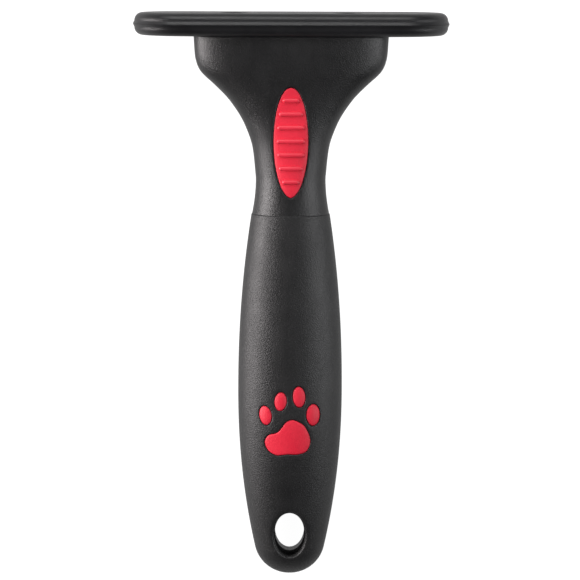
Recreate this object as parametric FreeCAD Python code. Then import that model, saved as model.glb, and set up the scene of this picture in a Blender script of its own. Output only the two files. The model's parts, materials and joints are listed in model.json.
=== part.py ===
"""Undercoat rake: a T-shaped grooming rake for dense coats.

One moulded core makes the neck and the tang of the handle. A soft grip is moulded over the tang, and red
soft-touch pads fill pockets in both. A two-part head plate closes on one row of round-tipped steel pins,
each free to turn in its own channel, and two screws hold the plate on the neck.

Everything is modelled straight, in the tool's own frame: X across, Y from the butt end of the handle to the
face of the head, Z out of the thumb side. It is then laid on its pin tips and its butt, on the plane Z = 0.
"""
import FreeCAD
import Part
import math
import os
from FreeCAD import Vector

# ---------------------------------------------------------------- driving dimensions, millimetres
# Handle, outside
grip_length = 109.8        # butt end to the seam between grip and neck
neck_length = 53.5         # seam to the head plate
belly_place = 57.0         # butt end to the widest section of the grip
waist_place = 10.8         # seam to the narrowest section of the neck
butt_radius = 10.7         # rounded butt end, seen from the thumb side
belly_width = 31.3
seam_width = 23.5
waist_width = 21.2
collar_width = 58.6        # neck where it meets the head plate
butt_thickness = 15.0
belly_thickness = 24.0
seam_thickness = 19.8
waist_thickness = 18.2
collar_thickness = 20.6
butt_droop = 2.2           # how far the handle's middle line drops from the belly to the butt
neck_step = 0.15           # the grip stands this much proud of the neck at the seam

# Handle, inside
grip_wall = 3.8            # soft grip over the tang
neck_wall = 2.6
hollow_web = 2.4           # solid stretch left between the thumb pad and the neck's hollow
boss_radius = 3.2

# Hanging hole
eye_width = 8.8            # oval hole through the tang's eye
eye_length = 11.9
eye_place = 13.5           # middle of the hole from the butt end
grip_lip = 0.45            # the soft grip stops this far outside the eye

# Red pads
pad_sink = 0.15            # pads lie this much under the skin round them
paw_place = 43.4           # middle of the paw's main pad from the butt end
paw_size = 1.0             # scale of the paw outline
paw_web = 0.5              # soft grip left between the paw's pockets and the tang
thumb_place = 21.8         # middle of the thumb pad past the seam
thumb_length = 32.9
thumb_width = 10.5
thumb_depth = 1.6
rib_count = 7
rib_pitch = 4.05
rib_shift = 0.45           # the ribs' middle is this much nearer the head than the pad's
rib_width = 1.5
rib_height = 0.75          # above the thumb pad
rib_margin = 0.95          # from a rib's end to the pad's edge

# Head plate
head_width = 94.5
head_depth = 26.0
head_wall = 1.35           # over and under the pin collars
rim_wall = 2.2
rim_draft = 0.4            # each shell leans in by this from the parting line
rim_fillet = 2.4
rib_wall = 1.4             # between the pin channel and the hollow behind it

# Pins
pin_count = 18
pin_diameter = 2.0
pin_reach = 13.5           # from the head's rim to the tips
pin_end_margin = 8.4       # from the head's ends to the outer pins
bearing_length = 3.7       # the channel that each pin turns in
collar_step = 0.9          # the collar's radius over the pin's
collar_length = 1.2
stub_length = 2.4
stub_diameter = 1.5
retainer_depth = 3.2
running_clearance = 0.06   # radial, between pin and channel
end_play = 0.1
seat_clearance = 0.1       # round the collars and the spigot, and at the retainer's ends

# Head screws
screw_spread = 34.0        # between the two screws
screw_shank_diameter = 2.9
screw_head_diameter = 5.6
screw_head_height = 1.8
screw_bite = 9.0           # length of shank in the neck
counterbore_diameter = 8.4
counterbore_depth = 2.0
counterbore_wall = 1.3      # of the tube that carries it through the head's hollow
screw_clearance = 0.2
slot_in_head = 0.9         # width of the cross recess
recess_depth = 1.0
spigot_height = 1.2
spigot_wall = 1.6

# ---------------------------------------------------------------- sizes that follow
pin_radius = pin_diameter / 2
collar_radius = pin_radius + collar_step
channel_half = collar_radius + seat_clearance
half_head = head_wall + channel_half
y_seam = grip_length
y_neck_top = y_seam + neck_length
y_parting = y_neck_top + half_head
y_face = y_parting + half_head
z_rim = -head_depth / 2
z_bearing = z_rim + bearing_length
z_retainer = z_bearing + collar_length + 2 * end_play
z_channel_end = z_retainer + retainer_depth
z_hollow = z_channel_end + rib_wall
z_hollow_end = head_depth / 2 - rim_wall
pin_span = head_width - 2 * pin_end_margin
pin_pitch = pin_span / (pin_count - 1)
pin_xs = [-pin_span / 2 + pin_pitch * i for i in range(pin_count)]
z_screw = (z_hollow + z_hollow_end) / 2
screw_xs = (-screw_spread / 2, screw_spread / 2)
y_belly = belly_place
y_waist = y_seam + waist_place
y_paw = paw_place
y_thumb = y_seam + thumb_place
y_hollow = y_thumb + thumb_length / 2 + hollow_web
y_tangent = butt_radius * 0.8
tube_radius = counterbore_diameter / 2 + counterbore_wall

FULLNESS = 2.1             # how long the grip stays full to each side of its belly
RING_POINTS = 32
NECK_SECTIONS = 15
GRIP_SECTIONS = 11
BUTT_ANGLES = (8, 22, 36, 50, 64)
FAR = 60.0                 # past the tool's sides, for cutting prisms

# The neck's flare: (share of the way from waist to plate, share of the widening)
flare = ((0.0, 0.0), (0.205, 0.051), (0.374, 0.18), (0.542, 0.418), (0.668, 0.697), (0.71, 0.806),
         (0.752, 0.893), (0.8, 0.946), (0.86, 0.978), (1.0, 1.0))

# The paw, from the middle of its main pad, x to the right and y towards the head
main_pad = ((0.8, 5.5), (4.0, 4.0), (5.6, 1.4), (6.2, -1.3), (5.1, -4.1), (2.5, -5.1), (-0.7, -5.1),
            (-3.9, -5.4), (-6.5, -4.0), (-7.6, -1.4), (-6.5, 0.7), (-3.9, 1.6), (-2.5, 3.1), (-1.2, 4.8))
# Toes: x, y, width, length, lean to the left in degrees
toes = ((-7.3, 6.7, 3.8, 5.9, 10.0), (-2.8, 11.0, 3.8, 5.7, -6.0), (2.7, 12.4, 3.9, 6.4, 5.0),
        (6.9, 6.9, 4.2, 6.6, 0.0))

# Half the thumb pad's width along it, as shares of half its length and half its width
thumb_outline = ((-1.0, 0.0), (-0.96, 0.24), (-0.83, 0.53), (-0.6, 0.775), (-0.3, 0.945), (0.05, 1.0),
                 (0.4, 0.925), (0.7, 0.735), (0.9, 0.46), (0.975, 0.24), (1.0, 0.0))


# ---------------------------------------------------------------- outlines
def smooth(points, t):
    """A smooth curve through points sorted by their first value, read at t."""
    slopes = [(b[1] - a[1]) / (b[0] - a[0]) for a, b in zip(points, points[1:])]
    tangents = [slopes[0]]
    for before, after in zip(slopes, slopes[1:]):
        level = before * after <= 0
        tangents.append(0.0 if level else 2 * before * after / (before + after))
    tangents.append(slopes[-1])
    i = max(k for k in range(len(slopes)) if k == 0 or points[k][0] <= t)
    (t0, v0), (t1, v1) = points[i], points[i + 1]
    span = t1 - t0
    s = (t - t0) / span
    return ((1 + 2 * s) * (1 - s) ** 2 * v0 + s * (1 - s) ** 2 * span * tangents[i]
            + s * s * (3 - 2 * s) * v1 - s * s * (1 - s) * span * tangents[i + 1])


def along_grip(y, butt, belly, seam):
    """A half-width or half-thickness between the butt's tangent line and the seam."""
    if y < y_belly:
        t = (y - y_tangent) / (y_belly - y_tangent)
        return butt + (belly - butt) * (1 - (1 - max(t, 0.0)) ** FULLNESS)
    t = (y - y_belly) / (y_seam - y_belly)
    return belly - (belly - seam) * t ** FULLNESS


def along_neck(y, seam, waist, collar):
    """The same from the seam to the head plate."""
    if y < y_waist:
        return waist + (seam - waist) * ((y_waist - y) / (y_waist - y_seam)) ** 2
    return waist + (collar - waist) * smooth(flare, (y - y_waist) / (y_neck_top - y_waist))


def half_width(y, inset=0.0):
    """Half the handle's width at y, all round smaller by inset."""
    if y < y_tangent:
        return math.sqrt(max((butt_radius - inset) ** 2 - (butt_radius - y) ** 2, 0.0))
    butt = math.sqrt(butt_radius ** 2 - (butt_radius - y_tangent) ** 2)
    if y <= y_seam:
        return along_grip(y, butt, belly_width / 2, seam_width / 2) - inset
    return along_neck(y, seam_width / 2, waist_width / 2, collar_width / 2) - inset


def half_thickness(y, inset=0.0):
    """Half the handle's thickness at y, all round smaller by inset."""
    if y < y_tangent:
        share = 1 - ((butt_radius - y) / (butt_radius - inset)) ** 2
        return (butt_thickness / 2 - inset) * math.sqrt(max(share, 0.0))
    butt = butt_thickness / 2 * math.sqrt(1 - ((butt_radius - y_tangent) / butt_radius) ** 2)
    if y <= y_seam:
        return along_grip(y, butt, belly_thickness / 2, seam_thickness / 2) - inset
    return along_neck(y, seam_thickness / 2, waist_thickness / 2, collar_thickness / 2) - inset


def middle(y):
    """Height of the handle's middle line, which droops from the belly to the butt."""
    return -butt_droop * max(1 - y / y_belly, 0.0) ** 2


def squareness(y):
    """Exponent of the section: oval in the hand, squarer where the neck meets the plate."""
    t = max((y - y_waist) / (y_neck_top - y_waist), 0.0)
    return 2.2 + 1.6 * t * t * (3 - 2 * t)


def ring(y, inset=0.0):
    """The handle's section at y as a closed wire, in four stretches that meet at its corners."""
    n = squareness(y)
    points = []
    for i in range(RING_POINTS):
        a = 2 * math.pi * (i / RING_POINTS + 1 / 8)
        c, s = math.cos(a), math.sin(a)
        reach = (abs(c) ** n + abs(s) ** n) ** (-1 / n)
        height = middle(y) + half_thickness(y, inset) * s * reach
        points.append(Vector(half_width(y, inset) * c * reach, y, height))
    curve = Part.BSplineCurve()
    curve.interpolate(Points=points, PeriodicFlag=True)
    corners = [curve.parameter(points[i]) for i in range(0, RING_POINTS, RING_POINTS // 4)]
    ends = corners[1:] + [curve.LastParameter]
    return Part.Wire([curve.toShape(low, high) for low, high in zip(corners, ends)])


def loft(ys, inset=0.0):
    """A solid through the handle's sections at ys."""
    return Part.makeLoft([ring(y, inset) for y in ys], True, False)


def spread(start, end, count):
    """count places from start to end, evenly spaced."""
    return [start + (end - start) * i / (count - 1) for i in range(count)]


def butt_places(inset):
    """Places round the butt's dome, closer together towards its tip."""
    return [butt_radius - (butt_radius - inset) * math.cos(math.radians(a)) for a in BUTT_ANGLES]


def grip_shape(inset=0.0):
    """The grip's outer form from the butt to the seam."""
    return loft(butt_places(inset) + spread(y_tangent + 1.0, y_seam, GRIP_SECTIONS), inset)


def oval_face(width, length, x, y, lean=0.0):
    """An oval face in the XY plane, its length along Y unless it leans to the left by lean degrees."""
    edge = Part.Ellipse(Vector(0, 0, 0), length / 2, width / 2).toShape()
    face = Part.Face(Part.Wire(edge))
    face.rotate(Vector(0, 0, 0), Vector(0, 0, 1), 90 + lean)
    face.translate(Vector(x, y, 0))
    return face


def closed_outline(points):
    """A smooth closed face through points in the XY plane."""
    curve = Part.BSplineCurve()
    curve.interpolate(Points=points, PeriodicFlag=True)
    return Part.Face(Part.Wire(curve.toShape()))


def prism(face, bottom, height=FAR):
    """The face raised from z = bottom, by default until it is clear of the tool."""
    low = face.copy()
    low.translate(Vector(0, 0, bottom))
    return low.extrude(Vector(0, 0, height))


def skin_height(x, y, inset=0.0):
    """Height of the thumb side of the handle's skin."""
    n = squareness(y)
    share = 1 - (abs(x) / half_width(y, inset)) ** n
    return middle(y) + half_thickness(y, inset) * share ** (1 / n)


# ---------------------------------------------------------------- red pads
def paw_faces():
    """The paw's five outlines by name."""
    s = paw_size
    faces = {"paw_main_pad": closed_outline([Vector(x * s, y_paw + y * s, 0) for x, y in main_pad])}
    for i, (x, y, width, length, lean) in enumerate(toes, 1):
        faces[f"paw_toe_{i}"] = oval_face(width * s, length * s, x * s, y_paw + y * s, lean)
    return faces


def pad_solid(face, floor, shape):
    """A pad that fills its pocket up to the given inner shape."""
    return prism(face, floor).common(shape)


def thumb_half_width(share):
    """Half the thumb pad's width at a share of its half length."""
    return smooth(thumb_outline, share) * thumb_width / 2


def thumb_face():
    """The thumb pad's outline."""
    right = [Vector(w * thumb_width / 2, y_thumb + t * thumb_length / 2, 0) for t, w in thumb_outline]
    left = [Vector(-p.x, p.y, 0) for p in reversed(right[1:-1])]
    return closed_outline(right + left)


def thumb_rib(index):
    """One round-ended rib across the thumb pad, bent to follow its crown."""
    y = y_thumb + rib_shift + rib_pitch * (index - (rib_count - 1) / 2)
    reach = thumb_half_width((y - y_thumb) / (thumb_length / 2)) - rib_margin - rib_width / 2
    r = rib_width / 2
    top = skin_height(0, y, pad_sink)
    sag = top - skin_height(reach, y, pad_sink)
    lift = rib_height - r
    path = Part.Arc(Vector(-reach, y, top - sag + lift), Vector(0, y, top + lift),
                    Vector(reach, y, top - sag + lift)).toShape()
    start = path.Curve.tangent(path.FirstParameter)[0]
    circle = Part.Circle(Vector(-reach, y, top - sag + lift), start, r)
    bar = Part.Wire(path).makePipeShell([Part.Wire(circle.toShape())], True, False)
    for side in (-1, 1):
        bar = bar.fuse(Part.makeSphere(r, Vector(side * reach, y, top - sag + lift)))
    return bar


# ---------------------------------------------------------------- handle
def neck_shape(inset, start):
    """The neck's form from start to the head plate, smaller all round by inset."""
    return loft(spread(start, y_neck_top, NECK_SECTIONS), inset)


def screw_hole(x, radius, low, high):
    """A round hole along Y on a head screw's line."""
    return Part.makeCylinder(radius, high - low, Vector(x, low, z_screw), Vector(0, 1, 0))


def eye_hole(margin=0.0):
    """The hanging hole as a prism through the handle, wider all round by margin."""
    return prism(oval_face(eye_width + 2 * margin, eye_length + 2 * margin, 0, eye_place), -FAR, 2 * FAR)


def make_core(thumb_pocket):
    """Neck and tang in one moulding: hollow at the head, with two screw bosses, and an eye at the butt."""
    outside = neck_shape(neck_step, y_seam)
    core = outside.cut(neck_shape(neck_wall, y_hollow))
    for x in screw_xs:
        boss = screw_hole(x, boss_radius, y_hollow - neck_wall, y_neck_top)
        core = core.fuse(boss.common(outside))
    for x in screw_xs:
        pilot = screw_hole(x, screw_shank_diameter / 2, y_neck_top - screw_bite - 1.0, y_face)
        core = core.cut(pilot)
    core = core.cut(thumb_pocket)
    return core.fuse(grip_shape(grip_wall)).cut(eye_hole())


def make_grip(pockets):
    """The soft grip: the outer form less the tang, the hanging hole and the paw's pockets."""
    grip = grip_shape().cut(grip_shape(grip_wall)).cut(eye_hole(grip_lip))
    for pocket in pockets:
        grip = grip.cut(pocket)
    return grip


# ---------------------------------------------------------------- head
def stadium(width, depth, y):
    """A round-ended outline across the head at height y."""
    r = depth / 2
    x = width / 2 - r
    edges = [
        Part.LineSegment(Vector(-x, y, -r), Vector(x, y, -r)).toShape(),
        Part.Arc(Vector(x, y, -r), Vector(x + r, y, 0), Vector(x, y, r)).toShape(),
        Part.LineSegment(Vector(x, y, r), Vector(-x, y, r)).toShape(),
        Part.Arc(Vector(-x, y, r), Vector(-x - r, y, 0), Vector(-x, y, -r)).toShape(),
    ]
    return Part.Wire(edges)


def shell(y_outer):
    """One half of the head plate, from the parting line to y_outer, with a rounded outer edge."""
    wide = stadium(head_width, head_depth, y_parting)
    narrow = stadium(head_width - 2 * rim_draft, head_depth - 2 * rim_draft, y_outer)
    solid = Part.makeLoft([wide, narrow], True, True)
    rim = [e for e in solid.Edges if all(abs(v.Y - y_outer) < 1e-6 for v in e.Vertexes)]
    return solid.makeFillet(rim_fillet, rim)


def box(x_half, y_low, y_high, z_low, z_high):
    """A block centred on X = 0."""
    return Part.makeBox(2 * x_half, y_high - y_low, z_high - z_low, Vector(-x_half, y_low, z_low))


def head_cuts():
    """What both shells leave open: pin channels, the collars' channel and the hollow behind it."""
    low, high = y_parting - channel_half, y_parting + channel_half
    cuts = []
    for x in pin_xs:
        cuts.append(Part.makeCylinder(pin_radius + running_clearance, bearing_length + 2.0,
                                      Vector(x, y_parting, z_rim - 1.0), Vector(0, 0, 1)))
    cuts.append(box(pin_span / 2 + channel_half, low, high, z_bearing, z_channel_end))
    depth = z_hollow_end - z_hollow
    hollow = Part.Face(stadium(head_width - head_depth + depth, depth, low)).extrude(Vector(0, high - low, 0))
    hollow.translate(Vector(0, 0, z_screw))
    for x in screw_xs:
        hollow = hollow.cut(screw_hole(x, tube_radius, low, high))
    cuts.append(hollow)
    return cuts


def make_head_base(cuts):
    """The shell on the neck's side, with a spigot that drops into the neck."""
    base = shell(y_neck_top)
    clear = neck_wall + seat_clearance
    top = y_neck_top + 0.5
    collar = loft(spread(y_neck_top - spigot_height, y_neck_top, 2), clear)
    bore = loft(spread(y_neck_top - spigot_height - 1.0, y_neck_top, 2), clear + spigot_wall)
    ring_wall = collar.cut(bore)
    for x in screw_xs:
        ring_wall = ring_wall.cut(screw_hole(x, boss_radius + seat_clearance, y_neck_top - 5, top))
    base = base.fuse(ring_wall)
    for cut in cuts:
        base = base.cut(cut)
    for x in screw_xs:
        base = base.cut(screw_hole(x, screw_shank_diameter / 2 + screw_clearance, y_neck_top - 5, y_face))
    return base


def make_head_cover(cuts):
    """The outer shell, with a counterbore for each screw."""
    cover = shell(y_face)
    for cut in cuts:
        cover = cover.cut(cut)
    for x in screw_xs:
        cover = cover.cut(screw_hole(x, screw_shank_diameter / 2 + screw_clearance, y_parting, y_face))
        cover = cover.cut(screw_hole(x, counterbore_diameter / 2, y_face - counterbore_depth, y_face + 1))
    return cover


def make_screws():
    """Two pan-head screws with a cross recess."""
    y_seat = y_face - counterbore_depth
    solids = []
    for x in screw_xs:
        shank = screw_hole(x, screw_shank_diameter / 2, y_neck_top - screw_bite, y_seat)
        head = screw_hole(x, screw_head_diameter / 2, y_seat, y_seat + screw_head_height)
        top = [e for e in head.Edges if all(abs(v.Y - y_seat - screw_head_height) < 1e-6 for v in e.Vertexes)]
        head = head.makeFillet(screw_head_height * 0.45, top)
        low = y_seat + screw_head_height - recess_depth
        arm = screw_head_diameter * 0.29
        half = slot_in_head / 2
        across = Part.makeBox(2 * arm, FAR, 2 * half, Vector(x - arm, low, z_screw - half))
        down = Part.makeBox(2 * half, FAR, 2 * arm, Vector(x - half, low, z_screw - arm))
        solids.append(shank.fuse(head).cut(across.fuse(down)).removeSplitter())
    return Part.makeCompound(solids)


def make_retainer():
    """The bar behind the collars, with a hole for each pin's stub."""
    length = pin_span / 2 + channel_half - seat_clearance
    bar = box(length, y_parting - channel_half, y_parting + channel_half, z_retainer, z_channel_end)
    for x in pin_xs:
        bar = bar.cut(Part.makeCylinder(stub_diameter / 2 + running_clearance, stub_length + end_play,
                                        Vector(x, y_parting, z_retainer), Vector(0, 0, 1)))
    return bar


def make_pin(x):
    """One pin: stub, collar, shaft and a round tip, as one turned piece."""
    r = pin_radius
    z_tip = z_rim - pin_reach
    z_stub = z_retainer + stub_length
    z_collar = z_bearing + end_play
    bend = math.sqrt(0.5)
    outline = [
        Part.Arc(Vector(0, 0, z_tip), Vector(r * bend, 0, z_tip + r * (1 - bend)),
                 Vector(r, 0, z_tip + r)).toShape(),
        Part.makePolygon([Vector(r, 0, z_tip + r), Vector(r, 0, z_collar),
                          Vector(collar_radius, 0, z_collar),
                          Vector(collar_radius, 0, z_collar + collar_length),
                          Vector(stub_diameter / 2, 0, z_collar + collar_length),
                          Vector(stub_diameter / 2, 0, z_stub), Vector(0, 0, z_stub), Vector(0, 0, z_tip)]),
    ]
    edges = [edge for piece in outline for edge in piece.Edges]
    face = Part.Face(Part.Wire(edges))
    pin = face.revolve(Vector(0, 0, 0), Vector(0, 0, 1), 360)
    pin.translate(Vector(x, y_parting, 0))
    return pin


# ---------------------------------------------------------------- lying on a table
def resting_pitch():
    """Angle that lays the tool on its tips and its butt: the first point of the underside to touch."""
    tip_y, tip_z = y_parting, z_rim - pin_reach + pin_radius
    angles = []
    for i in range(1, 400):
        y = y_belly * i / 400
        dy, dz = tip_y - y, tip_z - (middle(y) - half_thickness(y))
        angles.append(math.asin(pin_radius / math.hypot(dy, dz)) - math.atan2(dz, dy))
    return min(angles)


def lay_down(shapes):
    """Turns the shapes head up by the resting pitch, and centres them over the origin on Z = 0."""
    pitch = math.degrees(resting_pitch())
    for shape in shapes.values():
        shape.rotate(Vector(0, 0, 0), Vector(1, 0, 0), pitch)
    bounds = Part.makeCompound(list(shapes.values())).optimalBoundingBox(False, False)
    shift = Vector(0, -(bounds.YMin + bounds.YMax) / 2, -bounds.ZMin)
    for shape in shapes.values():
        shape.translate(shift)
    return pitch, shift


def main():
    shapes = {}
    faces = paw_faces()
    paw_floor = skin_height(0, y_belly, grip_wall) + paw_web
    under_skin = grip_shape(pad_sink)
    for name, face in faces.items():
        shapes[name] = pad_solid(face, paw_floor, under_skin)

    thumb_floor = skin_height(thumb_width / 2, y_waist, neck_step) - thumb_depth
    thumb = pad_solid(thumb_face(), thumb_floor, neck_shape(neck_step + pad_sink, y_seam))
    for i in range(rib_count):
        thumb = thumb.fuse(thumb_rib(i))
    thumb = thumb.common(prism(thumb_face(), thumb_floor))
    shapes["thumb_pad"] = thumb

    shapes["handle_core"] = make_core(prism(thumb_face(), thumb_floor))
    shapes["soft_grip"] = make_grip([prism(face, paw_floor) for face in faces.values()])

    cuts = head_cuts()
    shapes["head_base"] = make_head_base(cuts)
    shapes["head_cover"] = make_head_cover(cuts)
    shapes["head_screws"] = make_screws()
    shapes["pin_retainer"] = make_retainer()
    for i, x in enumerate(pin_xs, 1):
        shapes[f"pin_{i:02d}"] = make_pin(x)

    pitch, shift = lay_down(shapes)
    os.makedirs("parts", exist_ok=True)
    for name, shape in shapes.items():
        shape.exportStep(f"parts/{name}.step")
        print(f"{name}: {len(shape.Solids)} solid, {shape.Volume:.1f} mm3, valid {shape.isValid()}")
    print(f"pitch {pitch:.4f} degrees, shift {shift.x:.4f} {shift.y:.4f} {shift.z:.4f}")
    print(f"pin pitch {pin_pitch:.3f}, head thickness {2 * half_head:.2f}, length {y_face:.2f}")


main()
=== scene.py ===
# %% [markdown]
# # Undercoat rake
#
# A grooming rake is a T: a handle that widens into a flat head plate, and one row of round-tipped steel
# pins that turn freely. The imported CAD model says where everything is. This script builds the surfaces that
# a person sees on top of it: moulded skins with real lips and seams, red soft pads, turned pins and screws.

# %% Load the frame
import bpy
import bmesh
import json
import math
from mathutils import Matrix, Vector
from mathutils.geometry import delaunay_2d_cdt


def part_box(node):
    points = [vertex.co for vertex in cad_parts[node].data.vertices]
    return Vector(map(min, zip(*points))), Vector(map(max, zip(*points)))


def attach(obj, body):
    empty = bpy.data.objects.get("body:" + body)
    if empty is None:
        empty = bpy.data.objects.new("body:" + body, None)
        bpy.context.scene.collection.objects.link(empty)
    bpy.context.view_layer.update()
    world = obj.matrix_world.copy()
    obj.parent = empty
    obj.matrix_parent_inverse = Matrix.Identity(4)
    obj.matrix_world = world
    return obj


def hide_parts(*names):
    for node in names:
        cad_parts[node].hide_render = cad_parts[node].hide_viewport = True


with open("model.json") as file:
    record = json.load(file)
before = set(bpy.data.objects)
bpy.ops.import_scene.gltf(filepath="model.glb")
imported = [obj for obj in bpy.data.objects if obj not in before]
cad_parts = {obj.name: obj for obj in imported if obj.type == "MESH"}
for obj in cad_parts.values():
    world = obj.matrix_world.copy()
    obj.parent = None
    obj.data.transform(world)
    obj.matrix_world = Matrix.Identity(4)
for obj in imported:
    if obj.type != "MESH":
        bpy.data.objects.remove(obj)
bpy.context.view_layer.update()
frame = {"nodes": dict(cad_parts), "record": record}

record = frame["record"]

# %% [markdown]
# ## The tool's own frame
#
# The rake lies tilted, on its pin tips and its butt. It is far easier to model it straight: X across, Y from
# the butt to the head's face, Z out of the thumb side, all in millimetres. The record's mount on the head's
# face gives the tilt and the place, so one matrix takes every finished mesh to its place.

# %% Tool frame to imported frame
MM = 0.001
GRIP, NECK, HEAD = 109.8, 53.5, 6.7
head_mount = next(m for m in record["mounts"] if m["name"] == "head_face")
face_way = Vector(head_mount["axis"])
tilt = math.atan2(face_way.z, face_way.y)
turned_up = Matrix.Rotation(tilt, 4, "X") @ Matrix.Scale(MM, 4)
from_face = Matrix.Translation((0, -(GRIP + NECK + HEAD), 0))
to_place = Matrix.Translation(Vector(head_mount["pos_m"])) @ turned_up @ from_face
print("tilt", round(math.degrees(tilt), 3), "degrees")

# %% [markdown]
# ## The handle's form as a formula
#
# A moulded handle is a stack of ovals whose width and thickness change smoothly along it. A superellipse
# covers them all: an exponent near 2 is the oval in the palm, and one near 4 is the squarer neck that meets
# the plate. It could be sculpted, or lofted by a node tree, but neither would let pockets and lips be knitted
# into the skin. Written as functions, the form lets every skin, pad and rib sit on the same surface.

# %% Handle sizes and profile
BUTT_R, BELLY_W, SEAM_W, WAIST_W, COLLAR_W = 10.7, 31.3, 23.5, 21.2, 58.6
BUTT_T, BELLY_T, SEAM_T, WAIST_T, COLLAR_T = 15.0, 24.0, 19.8, 18.2, 20.6
BELLY_Y, WAIST_Y, TOP_Y = 57.0, GRIP + 10.8, GRIP + NECK
TANGENT_Y, DROOP, FULLNESS = BUTT_R * 0.8, 2.2, 2.1
GRIP_POWER, COLLAR_POWER = 2.2, 3.8
FLARE = ((0.0, 0.0), (0.205, 0.051), (0.374, 0.18), (0.542, 0.418), (0.668, 0.697), (0.71, 0.806),
         (0.752, 0.893), (0.8, 0.946), (0.86, 0.978), (1.0, 1.0))


def smooth(points, t):
    """A curve through points sorted by their first value, read at t, with no overshoot."""
    slopes = [(b[1] - a[1]) / (b[0] - a[0]) for a, b in zip(points, points[1:])]
    inner = [0.0 if p * q <= 0 else 2 * p * q / (p + q) for p, q in zip(slopes, slopes[1:])]
    tangents = [slopes[0], *inner, slopes[-1]]
    i = max(k for k in range(len(slopes)) if k == 0 or points[k][0] <= t)
    (t0, v0), (t1, v1) = points[i], points[i + 1]
    w = t1 - t0
    s = (t - t0) / w
    return ((1 + 2 * s) * (1 - s) ** 2 * v0 + s * (1 - s) ** 2 * w * tangents[i]
            + s * s * (3 - 2 * s) * v1 - s * s * (1 - s) * w * tangents[i + 1])


def along(y, butt, belly, seam, waist, collar):
    """A half-width or half-thickness past the butt's dome."""
    if y < BELLY_Y:
        t = (y - TANGENT_Y) / (BELLY_Y - TANGENT_Y)
        return butt + (belly - butt) * (1 - (1 - max(t, 0.0)) ** FULLNESS)
    if y <= GRIP:
        return belly - (belly - seam) * ((y - BELLY_Y) / (GRIP - BELLY_Y)) ** FULLNESS
    if y < WAIST_Y:
        return waist + (seam - waist) * ((WAIST_Y - y) / (WAIST_Y - GRIP)) ** 2
    return waist + (collar - waist) * smooth(FLARE, min((y - WAIST_Y) / (TOP_Y - WAIST_Y), 1.0))


def half_width(y, inset=0.0):
    """Half the handle's width, or that of a surface this far inside it."""
    if y < TANGENT_Y:
        return math.sqrt(max((BUTT_R - inset) ** 2 - (BUTT_R - y) ** 2, 0.0))
    butt = math.sqrt(BUTT_R ** 2 - (BUTT_R - TANGENT_Y) ** 2)
    return along(y, butt, BELLY_W / 2, SEAM_W / 2, WAIST_W / 2, COLLAR_W / 2) - inset


def half_thickness(y, inset=0.0):
    """Half the handle's thickness, or that of a surface this far inside it."""
    if y < TANGENT_Y:
        return (BUTT_T / 2 - inset) * math.sqrt(max(1 - ((BUTT_R - y) / (BUTT_R - inset)) ** 2, 0.0))
    butt = BUTT_T / 2 * math.sqrt(1 - ((BUTT_R - TANGENT_Y) / BUTT_R) ** 2)
    return along(y, butt, BELLY_T / 2, SEAM_T / 2, WAIST_T / 2, COLLAR_T / 2) - inset


def middle(y):
    """Height of the middle line, which droops towards the butt."""
    return -DROOP * max(1 - y / BELLY_Y, 0.0) ** 2


def squareness(y):
    """The superellipse's exponent, which eases from the grip's to the collar's."""
    t = min(max((y - WAIST_Y) / (TOP_Y - WAIST_Y), 0.0), 1.0)
    return GRIP_POWER + (COLLAR_POWER - GRIP_POWER) * t * t * (3 - 2 * t)


def skin_z(x, y, inset=0.0, side=1):
    """Height of the skin over (x, y): side 1 is the thumb side, -1 the pin side."""
    n = squareness(y)
    share = max(1 - (abs(x) / half_width(y, inset)) ** n, 0.0)
    return middle(y) + side * half_thickness(y, inset) * share ** (1 / n)


for name, y in (("belly", BELLY_Y), ("seam", GRIP), ("waist", WAIST_Y), ("collar", TOP_Y)):
    print(name, round(2 * half_width(y), 2), "x", round(2 * half_thickness(y), 2), "mm")

# %% [markdown]
# ## Skins with cut-outs
#
# A tube of quads is the natural mesh for the handle, but a round hole or a pad's pocket cut with a boolean
# leaves ragged shading. Here the tube leaves out a window around each cut-out, and a constrained Delaunay
# fill knits the window's edge to rings that follow the outline. The rings carry the rounded lip and the wall,
# so every edge catches the light as a moulded one does.

# %% Loops in plan
def inside(point, loop):
    """Whether a point of the plan lies in a closed loop."""
    x, y = point
    odd = False
    for (x0, y0), (x1, y1) in zip(loop, loop[1:] + loop[:1]):
        if (y0 > y) != (y1 > y) and x < x0 + (y - y0) * (x1 - x0) / (y1 - y0):
            odd = not odd
    return odd


def offset(loop, d):
    """A counter-clockwise loop moved outwards by d."""
    moved = []
    for a, b, c in zip(loop[-1:] + loop[:-1], loop, loop[1:] + loop[:1]):
        way = Vector((c[0] - a[0], c[1] - a[1])).normalized()
        moved.append((b[0] + way.y * d, b[1] - way.x * d))
    return moved


# %% The skin builder
class Skin:
    """Vertices in the tool's frame and the faces between them."""

    def __init__(self):
        self.verts, self.faces = [], []

    def add(self, points):
        start = len(self.verts)
        self.verts.extend(points)
        return list(range(start, len(self.verts)))

    def strip(self, a, b):
        """Quads between two closed rows of the same length."""
        for i in range(len(a)):
            j = (i + 1) % len(a)
            self.faces.append((a[i], a[j], b[j], b[i]))

    def fill(self, border, holes, extra, plan):
        """Triangles from a border to hole loops through extra vertices; plan picks two coordinates."""
        ids = border + [v for hole in holes for v in hole] + extra
        flat = [Vector(plan(self.verts[v])) for v in ids]
        local = {v: i for i, v in enumerate(ids)}
        loops = [border] + holes
        edges = [(local[a], local[b]) for loop in loops for a, b in zip(loop, loop[1:] + loop[:1])]
        _, _, tris, came_from, _, _ = delaunay_2d_cdt(flat, edges, [], 0, 1e-6)
        outlines = [[tuple(flat[local[v]]) for v in loop] for loop in loops]
        for tri in tris:
            corners = [came_from[k][0] for k in tri]
            centre = sum((flat[k] for k in corners), Vector((0, 0))) / 3
            if inside(centre, outlines[0]) and not any(inside(centre, o) for o in outlines[1:]):
                self.faces.append(tuple(ids[k] for k in corners))


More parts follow.
